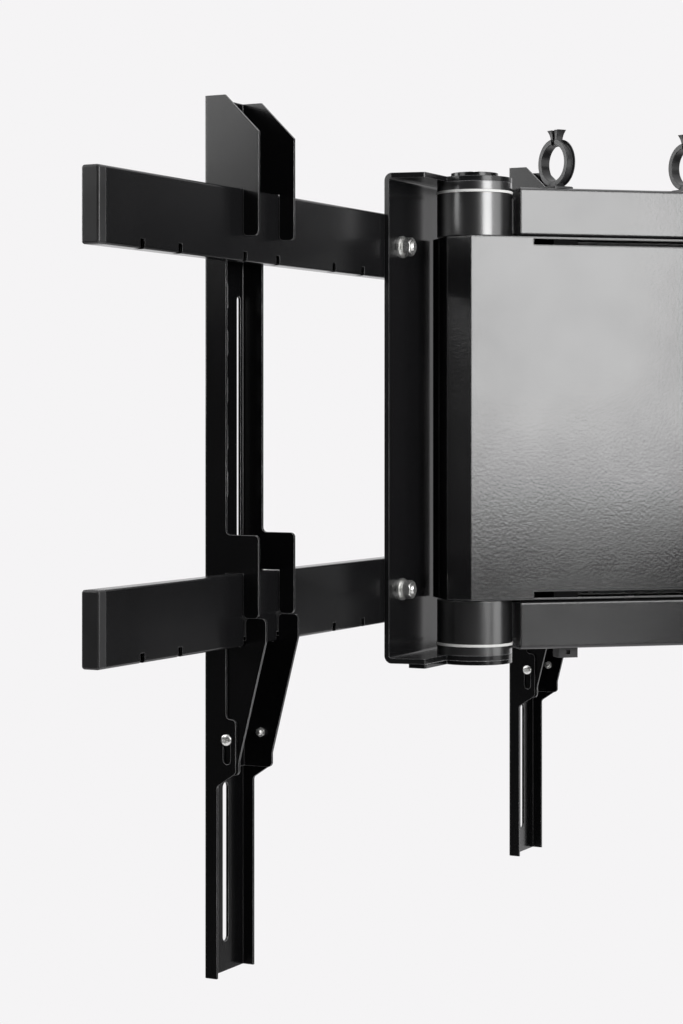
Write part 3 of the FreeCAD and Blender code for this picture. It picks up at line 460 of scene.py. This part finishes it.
def headedScrew(s):
    # a domed head whose height dips inside a cross or hexagon recess, with a flat seat, and a threaded shank
    form, head = screwForm, s["head"]
    angle = around(form["sides"])
    rim = np.sin(np.linspace(form["rimStart"], 0.5 * np.pi, form["rimRows"]))
    share = np.concatenate([np.linspace(0.0, form["domeShare"], form["domeRows"]), rim])[:, None]
    reach = head * share * np.ones_like(angle)
    x, y = reach * np.cos(angle), reach * np.sin(angle)
    dome = s["rise"] * (s["rim"] + (1.0 - s["rim"]) * np.sqrt(np.clip(1.0 - share ** 2, 0.0, 1.0)))
    if s["recess"] == "cross":
        narrow = np.minimum(np.abs(x), np.abs(y))
        wide = np.maximum(np.abs(x), np.abs(y))
        within = np.clip((form["crossHalf"] * head - narrow) / (form["crossSoft"] * head), 0, 1)
        inside = within * np.clip((form["crossReach"] * head - wide) / (form["crossFade"] * head), 0, 1)
    else:
        inside = np.clip((hexReach(angle, s["socket"]) - reach) / (form["socketSoft"] * head), 0, 1)
    seat = np.array([[head], [0.0]])  # the seat's rim, then its middle
    x = np.vstack([x, seat * np.cos(angle)])
    y = np.vstack([y, seat * np.sin(angle)])
    height = np.vstack([dome - s["depth"] * inside, np.zeros((2, len(angle)))])
    thread = threadedRod(s["shank"], s["pitch"], -s["length"], 0.0)
    return [surface(x[::-1], y[::-1], height[::-1]), thread]


def placed(shape, seat, direction):
    # local z becomes the direction, at the seat
    points, faces = shape
    axis = np.array(direction, float) / np.linalg.norm(direction)
    side = np.cross(axis, (0.0, 0.0, 1.0) if abs(axis[2]) < 0.9 else (1.0, 0.0, 0.0))
    side /= np.linalg.norm(side)
    return points @ np.stack([side, np.cross(axis, side), axis]) + np.array(seat, float), faces


meshSettings = {"weld": 1e-7, "sharpDegrees": 32.0}


def newPiece(name, shapes, finish, body, stands):
    start, points, faces = 0, [], []
    for shapePoints, shapeFaces in shapes:
        points.append(shapePoints)
        faces.append(shapeFaces + start)
        start += len(shapePoints)
    mesh = bpy.data.meshes.new(name)
    mesh.from_pydata(np.vstack(points).tolist(), [], np.vstack(faces).tolist())
    mesh.validate()
    work = bmesh.new()
    work.from_mesh(mesh)
    bmesh.ops.remove_doubles(work, verts=work.verts, dist=meshSettings["weld"])
    bmesh.ops.recalc_face_normals(work, faces=work.faces)
    work.to_mesh(mesh)
    work.free()
    mesh.polygons.foreach_set("use_smooth", [True] * len(mesh.polygons))
    mesh.set_sharp_from_angle(angle=math.radians(meshSettings["sharpDegrees"]))
    piece = bpy.data.objects.new(name, mesh)
    scene.collection.objects.link(piece)
    dress(piece, finish)
    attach(piece, body)
    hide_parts(*stands)


# shared places, in metres: the arm's angle and the two pivots
armTurn = math.radians(48.2)
armLength = 0.650
wallPivot = np.array([0.0, -0.090, 0.0])
headPivot = wallPivot + armLength * np.array([math.cos(armTurn), -math.sin(armTurn), 0.0])


def onArm(along, across, height):
    # a point by its distance from the wall pivot, its distance towards the front panel, and its height
    return wallPivot + np.stack([along * math.cos(armTurn) + across * math.sin(armTurn),
                                 across * math.cos(armTurn) - along * math.sin(armTurn), height], axis=-1)


boltSettings = {
    "places": [(x, z) for x in (-0.078, 0.078) for z in (-0.2, 0.2)],
    "nut": {"flats": 0.019, "height": 0.010, "chamfer": 0.0011},
    "head": {"flats": 0.019, "height": 0.0075, "chamfer": 0.0011},
    "radius": 0.006, "pitch": 0.00175, "washer": 0.003, "lockWasher": 0.0025, "plate": 0.006,
    "end": 0.018, "bury": 0.0048,
    "railNear": -0.065, "railFar": -0.085, "wallPlate": 0.006,
}


def addBolts(s):
    headFace = headPivot[1] + s["railFar"] - s["washer"]
    plateFace = headPivot[1] + s["railNear"] + s["plate"]
    headLow = hexNut(s["head"], 0.0)
    nut = hexNut(s["nut"], s["radius"])
    rod = threadedRod(s["radius"], s["pitch"], 0.0, plateFace + s["end"] - headFace)
    bolts, nuts = [], []
    for x, z in s["places"]:
        seat = np.array([headPivot[0] + x, headFace, z])
        bolts += [placed(headLow, seat, (0, -1, 0)), placed(rod, seat, (0, 1, 0))]
        nuts.append(placed(nut, (headPivot[0] + x, plateFace + s["washer"] + s["lockWasher"], z), (0, 1, 0)))
    newPiece("railBolts", bolts, "zincPlate", "head", ["rail_bolts"])
    newPiece("railNuts", nuts, "zincPlate", "head", ["rail_nuts"])
    wallFace = -s["wallPlate"] - s["plate"]
    stud = threadedRod(s["radius"], s["pitch"], 0.0, s["end"] + s["plate"] + s["bury"])
    studs, nuts = [], []
    for x, z in s["places"]:
        studs.append(placed(stud, (x, -s["wallPlate"] + s["bury"], z), (0, -1, 0)))
        nuts.append(placed(nut, (x, wallFace - s["washer"] - s["lockWasher"], z), (0, -1, 0)))
    newPiece("wallStuds", studs, "zincPlate", "wall", ["wall_studs"])
    newPiece("wallNuts", nuts, "zincPlate", "wall", ["wall_nuts"])


addBolts(boltSettings)
print("bolts and nuts made")

screwSettings = {
    "lock": {
        "head": 0.006, "rise": 0.0036, "rim": 0.35, "recess": "cross", "depth": 0.0017, "shank": 0.003,
        "pitch": 0.001, "length": 0.014, "side": 0.0401, "legs": 0.400, "across": -0.0845,
        "height": -0.3355, "nut": {"flats": 0.009, "height": 0.004, "chamfer": 0.0005}, "nutSeat": 0.0337,
    },
    "pivot": {
        "head": 0.009, "rise": 0.004, "rim": 0.35, "recess": "hex", "socket": 0.008, "depth": 0.0022,
        "shank": 0.00498, "pitch": 0.0015, "length": 0.0198, "top": 0.2901, "bottom": 0.2891,
    },
    "cover": {
        "head": 0.00475, "rise": 0.0028, "rim": 0.35, "recess": "cross", "depth": 0.0014, "shank": 0.0025,
        "pitch": 0.0008, "length": 0.012, "columns": (0.102, 0.548), "heights": (-0.16, 0.0, 0.16),
        "face": -0.045,
    },
}


def addLockScrews(s):
    screw = headedScrew(s)
    nut = hexNut(s["nut"], s["shank"])
    for name, turn in (("left", 1), ("right", -1)):
        x = headPivot[0] + turn * s["legs"]
        y = headPivot[1] + s["across"]
        shapes = []
        for side in (-1, 1):
            seat = (x + side * s["side"], y, s["height"])
            shapes += [placed(shape, seat, (side, 0, 0)) for shape in screw]
            shapes.append(placed(nut, (x + side * s["nutSeat"], y, s["height"]), (-side, 0, 0)))
        body = name + "_lock"
        newPiece(name + "LockScrews", shapes, "zincPlate", body, [name + "_lock_screws"])


def addPivotScrews(s):
    screw = headedScrew(s)
    for name, centre in (("head", headPivot), ("wall", wallPivot)):
        shapes = [placed(shape, (centre[0], centre[1], s["top"]), (0, 0, 1)) for shape in screw]
        shapes += [placed(shape, (centre[0], centre[1], -s["bottom"]), (0, 0, -1)) for shape in screw]
        newPiece(name + "PivotScrews", shapes, "zincPlate", name, [name + "_pivot_screws"])


def addCoverScrews(s):
    screw = headedScrew(s)
    back = onArm(0, -1, 0) - wallPivot
    shapes = [placed(shape, onArm(along, s["face"], height), back) for along in s["columns"]
              for height in s["heights"] for shape in screw]
    newPiece("rearCoverScrews", shapes, "zincPlate", "arm", ["rear_cover_screws"])


addLockScrews(screwSettings["lock"])
addPivotScrews(screwSettings["pivot"])
addCoverScrews(screwSettings["cover"])
print("screws made")

# a clip: a grooved ring with a gap at the top, a tongue under the gap, two pinch tabs, a pad and a foot
clipSettings = {
    "first": 0.103, "pitch": 0.168, "count": 3, "base": 0.273, "turn": 72.0,
    "inner": 0.022, "outer": 0.0285, "half": 0.0062, "rim": 0.0017, "groove": 0.0034, "gap": 0.0015,
    "soft": 0.0004, "steps": 120, "fadeDegrees": 9.0, "gapDegrees": 4.0,
    "tongue": {"first": -22.0, "last": 13.0, "thick": 0.0016, "half": 0.0036},
    "tab": {"root": 0.0045, "top": 0.0100, "rise": 0.014, "lean": 0.0006, "flare": 2.2, "narrow": 0.72,
            "rows": 14, "power": 0.22},
    "pad": {"half": 0.015, "height": 0.004, "lowRound": 0.0005, "topRound": 0.0008, "power": 0.22},
    "foot": {"halfX": 0.0105, "halfY": 0.0068, "rise": 0.006, "taper": 0.45, "sunk": 0.0004, "rows": 8,
             "power": 0.25},
}
loftSides = 48


def ringBand(s, first, last, profile):
    # a section of (radius, side) carried round a circle from one angle to another, closed at both ends
    turn = np.radians(np.linspace(first, last, s["steps"]))[:, None]
    fromEnd = np.minimum(np.degrees(turn) - first, last - np.degrees(turn))
    radius, side = profile(np.clip(fromEnd / s["fadeDegrees"], 0.0, 1.0))
    middle = np.full((1, radius.shape[1]), radius[0].mean())
    flat = np.zeros_like(middle)
    radius = np.vstack([middle, radius, middle])
    side = np.vstack([flat, np.repeat(side, s["steps"], axis=0), flat])
    turn = np.vstack([turn[:1], turn, turn[-1:]])
    centre = s["pad"]["height"] + s["outer"]
    return surface(radius * np.sin(turn), side, centre + radius * np.cos(turn))


def roundedLoft(halfX, halfY, middleX, height, power):
    # rounded rectangles stacked by height: cosine and sine raised to a small power keep the sides flat
    angle = around(loftSides)
    x = np.sign(np.cos(angle)) * np.abs(np.cos(angle)) ** power
    y = np.sign(np.sin(angle)) * np.abs(np.sin(angle)) ** power
    halfX, halfY, middleX, height = (np.concatenate([a[:1], a, a[-1:]])[:, None] * np.ones((1, loftSides))
                                     for a in map(np.asarray, (halfX, halfY, middleX, height)))
    halfX[[0, -1]] = halfY[[0, -1]] = 0.0
    return surface(middleX + halfX * x, halfY * y, height)


def ringChannel(s, fade):
    # two rims with a groove between them on the outside, smooth inside; the groove fades at the ends
    soft, edge, inner, outer = s["soft"], s["half"], s["inner"], s["outer"]
    lip = edge - s["rim"]
    floor = outer - s["groove"] * fade
    dip = np.minimum(outer - soft, floor + soft)
    inside = [inner + soft, inner, inner, inner + soft]
    columns = [*inside, outer - soft, outer, outer, dip, floor, floor, dip, outer, outer, outer - soft]
    side = [-edge, -edge + soft, edge - soft, edge, edge, edge - soft, lip + soft,
            lip, lip - soft, -lip + soft, -lip, -lip - soft, -edge + soft, -edge]
    return np.hstack([np.ones_like(fade) * column for column in columns]), np.array([side])


def ringTongue(s, fade):
    # a plain rectangular section against the inside of the ring
    thick, half = s["tongue"]["thick"], s["tongue"]["half"]
    radius = s["inner"] - thick + np.array([[0.0, 0.0, thick, thick]])
    return np.repeat(radius, len(fade), axis=0), np.array([[-half, half, half, -half]])


def pinchTab(s, sign):
    # narrow at the root and flared to a flat top
    tab = s["tab"]
    up = np.linspace(0.0, 1.0, tab["rows"])
    root = s["pad"]["height"] + 2.0 * s["outer"] - 0.5 * (s["outer"] - s["inner"])
    near = s["gap"] + tab["lean"] * up ** 2
    far = s["gap"] + tab["root"] + (tab["top"] - tab["root"]) * up ** tab["flare"]
    width = s["half"] * (tab["narrow"] + (1.0 - tab["narrow"]) * up ** 2)
    middle = sign * 0.5 * (near + far)
    return roundedLoft(0.5 * (far - near), width, middle, root + tab["rise"] * up, tab["power"])


def clipShapes(s):
    pad, foot, tongue = s["pad"], s["foot"], s["tongue"]
    start = math.degrees(s["gap"] / s["outer"]) + s["gapDegrees"]
    half, low, top = pad["half"], pad["lowRound"], pad["topRound"]
    outline = [half - low, half, half, half - top]
    padHeights = [0.0, low, pad["height"] - top, pad["height"]]
    lift = np.linspace(0.0, 1.0, foot["rows"])
    level = np.zeros_like(lift)
    return [
        ringBand(s, start, 360.0 - start, lambda fade: ringChannel(s, fade)),
        ringBand(s, tongue["first"], tongue["last"], lambda fade: ringTongue(s, fade)),
        pinchTab(s, -1),
        pinchTab(s, 1),
        roundedLoft(outline, outline, np.zeros(4), padHeights, pad["power"]),
        roundedLoft(foot["halfX"] * (1.0 - foot["taper"] * np.sqrt(lift)), level + foot["halfY"], level,
                    pad["height"] - foot["sunk"] + foot["rise"] * lift, foot["power"]),
    ]


def addClips(s):
    turn = math.radians(s["turn"])
    clip, shapes = clipShapes(s), []
    for index in range(s["count"]):
        along = armLength - s["first"] - index * s["pitch"]
        for points, faces in clip:
            armX = along + points[:, 0] * math.cos(turn) + points[:, 1] * math.sin(turn)
            armY = points[:, 1] * math.cos(turn) - points[:, 0] * math.sin(turn)
            shapes.append((onArm(armX, armY, points[:, 2] + s["base"]), faces))
    newPiece("cableClips", shapes, "mouldedBlack", "arm", ["cable_clips"])


addClips(clipSettings)
print("cable clips made")

# studio: a floor well below, soft boxes, a dark screen round the camera side and a pale world
studioSettings = {
    "paper": (0.913, 0.904, 0.913),
    "worldLight": 0.35,
    "floor": {"height": -1.75, "half": 14.0, "fadeStart": 1.4, "fadeEnd": 2.4, "centre": (0.45, -0.45),
              "nearGlow": 0.3},
    "screen": {"centre": (0.45, -0.45), "radius": 3.4, "start": -135.0, "end": 153.0, "steps": 60,
               "low": -1.70, "high": 2.4, "glow": 0.045},
    "lamps": {
        "panelBox": {"place": (1.10, 0.76, 0.41), "aim": (0.39, -0.46, 0.41),
                     "size": (0.75, 1.12), "power": 17.2},
        "sideBox": {"place": (2.25, -1.95, 0.92), "aim": (0.80, -0.60, 0.92),
                    "size": (1.05, 1.0), "power": 10.5},
        "edgeBox": {"place": (0.90, -2.50, 0.72), "aim": (0.45, -0.60, 0.72),
                    "size": (0.70, 1.40), "power": 15.0},
        "lowStrip": {"place": (1.008, 0.645, -0.46), "aim": (0.43, -0.56, -0.25),
                     "size": (0.20, 0.14), "power": 0.22},
        "frontFill": {"place": (-0.11, -3.60, -0.35), "aim": (0.45, -0.45, -0.35),
                      "size": (1.6, 1.6), "power": 5.0},
        "wallFill": {"place": (0.00, 2.74, -0.05), "aim": (0.45, -0.45, -0.05),
                     "size": (1.7, 2.3), "power": 18.0},
        "overheadBox": {"place": (0.5, -0.5, 2.4), "aim": (0.5, -0.55, 0.0),
                        "size": (2.2, 1.6), "power": 14.0},
    },
}


def seenBy(t, first, *others):
    # 1 for the kinds of ray that are named and 0 for the rest
    path = t.add("ShaderNodeLightPath").outputs
    seen = path[first]
    for ray in others:
        seen = t.math("ADD", seen, path[ray], clamp=True)
    return seen


def makeWorld(s):
    world = bpy.data.worlds.new("paleStudio")
    scene.world = world
    world.use_nodes = True
    t = Tree(world.node_tree)
    seen = seenBy(t, "Is Camera Ray", "Is Glossy Ray", "Is Transmission Ray")
    background = world.node_tree.nodes["Background"]
    background.inputs["Color"].default_value = (*s["paper"], 1.0)
    t.join(t.spread(seen, 0.0, 1.0, s["worldLight"], 1.0), background.inputs["Strength"])


def addSheet(name, points):
    # a grid of points (rows, columns, 3) becomes an open sheet of quads
    mesh = bpy.data.meshes.new(name)
    quads = gridFaces(*points.shape[:2], closeColumns=False)
    mesh.from_pydata(points.reshape(-1, 3).tolist(), [], quads.tolist())
    sheet = bpy.data.objects.new(name, mesh)
    scene.collection.objects.link(sheet)
    return sheet


def addFloor(s, paper):
    # a flat grid: x and y run over the floor, z is its height
    side = np.linspace(-s["half"], s["half"], 3)
    x, y = np.meshgrid(side, side)
    floor = addSheet("floor", np.stack([x, y, np.full_like(x, s["height"])], axis=-1))
    material, t, shader = newMaterial("palePaper", {"Roughness": 0.9, "Specular IOR Level": 0.0,
                                                    "Emission Color": (*paper, 1.0)})
    place = t.add("ShaderNodeVectorMath", operation="DISTANCE")
    t.join(t.add("ShaderNodeTexCoord").outputs["Object"], place.inputs[0])
    place.inputs[1].default_value = (*s["centre"], s["height"])
    # away from the part the floor takes no shadow and glows like plain paper
    far = t.spread(place.outputs["Value"], s["fadeStart"], s["fadeEnd"], 0.0, 1.0)
    mixColour(t, far, paper, (0.0, 0.0, 0.0), shader["Base Color"])
    glow = t.math("ADD", t.math("MULTIPLY", far, 1.0 - s["nearGlow"]), s["nearGlow"])
    seen = seenBy(t, "Is Camera Ray", "Is Glossy Ray")
    t.join(t.math("MULTIPLY", glow, seen), shader["Emission Strength"])
    floor.data.materials.append(material)


def addScreen(s):
    # an upright sheet bent round a circle: angle runs along it, height up it; only reflections see it
    turn = np.radians(np.linspace(s["start"], s["end"], s["steps"]))
    angle, height = np.meshgrid(turn, (s["low"], s["high"]))
    x = s["centre"][0] + s["radius"] * np.cos(angle)
    y = s["centre"][1] + s["radius"] * np.sin(angle)
    screen = addSheet("darkScreen", np.stack([x, y, height], axis=-1))
    material = newMaterial("darkCloth", {"Base Color": (0.0, 0.0, 0.0, 1.0), "Specular IOR Level": 0.0,
                                         "Emission Color": (1.0, 1.0, 1.0, 1.0),
                                         "Emission Strength": s["glow"]})[0]
    screen.data.materials.append(material)
    screen.visible_camera = screen.visible_diffuse = screen.visible_shadow = False


def addLamp(name, s):
    light = bpy.data.lights.new(name, "AREA")
    light.shape = "RECTANGLE"
    light.size, light.size_y = s["size"]
    light.energy = s["power"]
    lamp = bpy.data.objects.new(name, light)
    place, aim = np.array(s["place"]), np.array(s["aim"])
    away = (place - aim) / np.linalg.norm(place - aim)
    flat = math.hypot(away[0], away[1])
    lamp.rotation_euler = (math.atan2(flat, away[2]), 0.0, math.atan2(away[0], -away[1]))
    lamp.location = s["place"]
    lamp.visible_camera = False
    scene.collection.objects.link(lamp)


makeWorld(studioSettings)
addFloor(studioSettings["floor"], studioSettings["paper"])
addScreen(studioSettings["screen"])
for name, settings in studioSettings["lamps"].items():
    addLamp(name, settings)
print("studio set")
